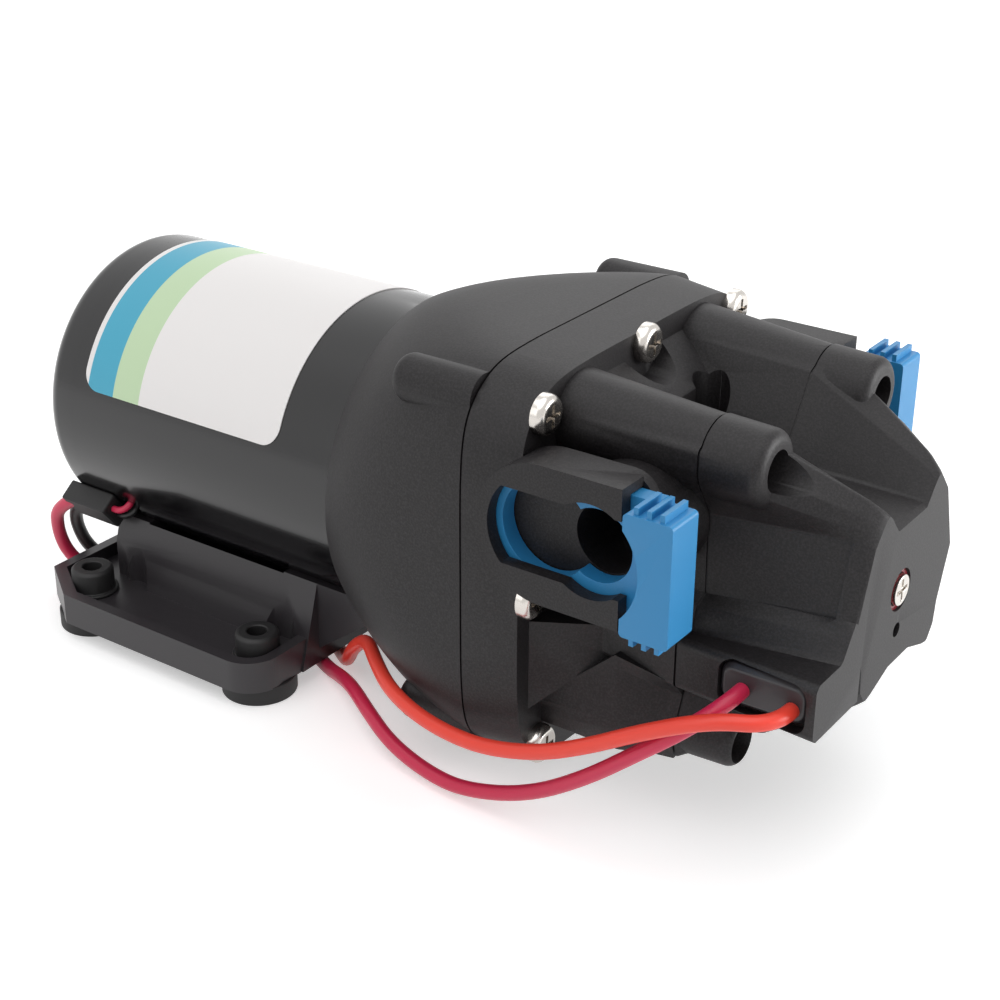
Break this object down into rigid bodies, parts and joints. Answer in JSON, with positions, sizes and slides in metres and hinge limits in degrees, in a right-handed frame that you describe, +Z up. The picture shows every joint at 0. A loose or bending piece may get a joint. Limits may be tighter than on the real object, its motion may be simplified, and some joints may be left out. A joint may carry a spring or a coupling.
{
  "type": "diaphragm water pump",
  "caption": "Twelve-volt diaphragm water pump for a caravan: round motor on a footed base, domed drive housing, pump head with side ports and slide clips, and a pressure switch.",
  "frame": {"origin": "centre of the four feet, on the surface that they stand on", "axes": "+X along the motor axis towards the pump head, +Z up; -Y is the side with the leads"},
  "size_m": [0.2355, 0.1154, 0.1046],
  "materials": {
    "black_enamel": "gloss",
    "black_nylon": "matt, fine grain",
    "zinc_plate": "satin",
    "bronze": "satin",
    "ferrite": "matt",
    "natural_plastic": "satin",
    "carbon": "matt",
    "label": "satin",
    "stainless": "bright",
    "rubber": "matt",
    "grommet_rubber": "matt",
    "sealant": "gloss",
    "crimson_insulation": "satin",
    "orange_insulation": "satin",
    "black_insulation": "satin",
    "copper": "satin",
    "aluminium": "satin",
    "bearing_steel": "polished",
    "blue_plastic": "satin"
  },
  "bodies": {
    "pump_body": {"motor_can": "black_enamel", "motor_end_cap": "black_enamel", "motor_front_plate": "zinc_plate", "shaft_bushes": "bronze", "motor_bolts": "zinc_plate", "field_magnets": "ferrite", "brush_holder": "natural_plastic", "carbon_brushes": "carbon", "brush_springs": "bronze", "motor_label": "label", "drive_housing": "black_nylon", "flange_screws": "stainless", "diaphragm": "rubber", "valve_plate": "natural_plastic", "inlet_valves": "rubber", "outlet_valve": "rubber", "head_seal": "rubber", "port_housing": "black_nylon", "front_cover": "black_nylon", "switch_plate": "black_nylon", "long_screws": "stainless", "switch_diaphragm": "rubber", "switch_spring": "stainless", "spring_seat": "natural_plastic", "thread_sealant": "sealant", "microswitch": "natural_plastic", "base_plate": "black_nylon", "base_screws": "stainless", "foot_grommets": "grommet_rubber", "lead_grommet": "grommet_rubber", "motor_leads": "crimson_insulation", "crimson_lead": "crimson_insulation", "orange_lead": "orange_insulation", "black_lead": "black_insulation"},
    "rotor": {"motor_shaft": "zinc_plate", "armature_core": "zinc_plate", "armature_windings": "copper", "commutator": "copper", "eccentric_hub": "aluminium", "wobble_bearing_inner": "bearing_steel"},
    "ball_set": {"bearing_balls": "bearing_steel", "ball_cage": "bronze"},
    "wobble_set": {"wobble_bearing_outer": "bearing_steel", "wobble_plate": "natural_plastic", "diaphragm_pads": "rubber", "piston_caps": "natural_plastic", "piston_screws": "stainless"},
    "near_clip": {"port_clip_near": "blue_plastic"},
    "far_clip": {"port_clip_far": "blue_plastic"},
    "plunger": {"switch_plunger": "natural_plastic", "switch_button": "natural_plastic"},
    "adjuster": {"adjusting_screw": "stainless"}
  },
  "joints": [
    {"name": "motor_spin", "type": "hinge", "parent": "pump_body", "child": "rotor", "pos_m": [0, 0, 0.056], "axis": [1, 0, 0], "continuous": true},
    {"name": "ball_orbit", "type": "hinge", "parent": "rotor", "child": "ball_set", "pos_m": [0.085, 0, 0.056], "axis": [0.9981, 0, 0.061], "continuous": true},
    {"name": "wobble_nod", "type": "hinge", "parent": "rotor", "child": "wobble_set", "pos_m": [0.085, 0, 0.056], "axis": [0.9981, 0, 0.061], "continuous": true},
    {"name": "near_clip_slide", "type": "slide", "parent": "pump_body", "child": "near_clip", "axis": [1, 0, 0], "range_m": [0, 0.0128]},
    {"name": "far_clip_slide", "type": "slide", "parent": "pump_body", "child": "far_clip", "axis": [1, 0, 0], "range_m": [0, 0.0128]},
    {"name": "plunger_slide", "type": "slide", "parent": "pump_body", "child": "plunger", "axis": [1, 0, 0], "range_m": [0, 0.001], "stiffness_N_per_m": 3000, "springref_m": -0.002},
    {"name": "adjuster_turn", "type": "hinge", "parent": "pump_body", "child": "adjuster", "pos_m": [0.18, -0.0026, 0.0596], "axis": [1, 0, 0], "range_deg": [-180, 180]}
  ],
  "couplings": [
    {"joint": "ball_orbit", "follows": "motor_spin", "ratio": -0.576},
    {"joint": "wobble_nod", "follows": "motor_spin", "ratio": -1}
  ]
}
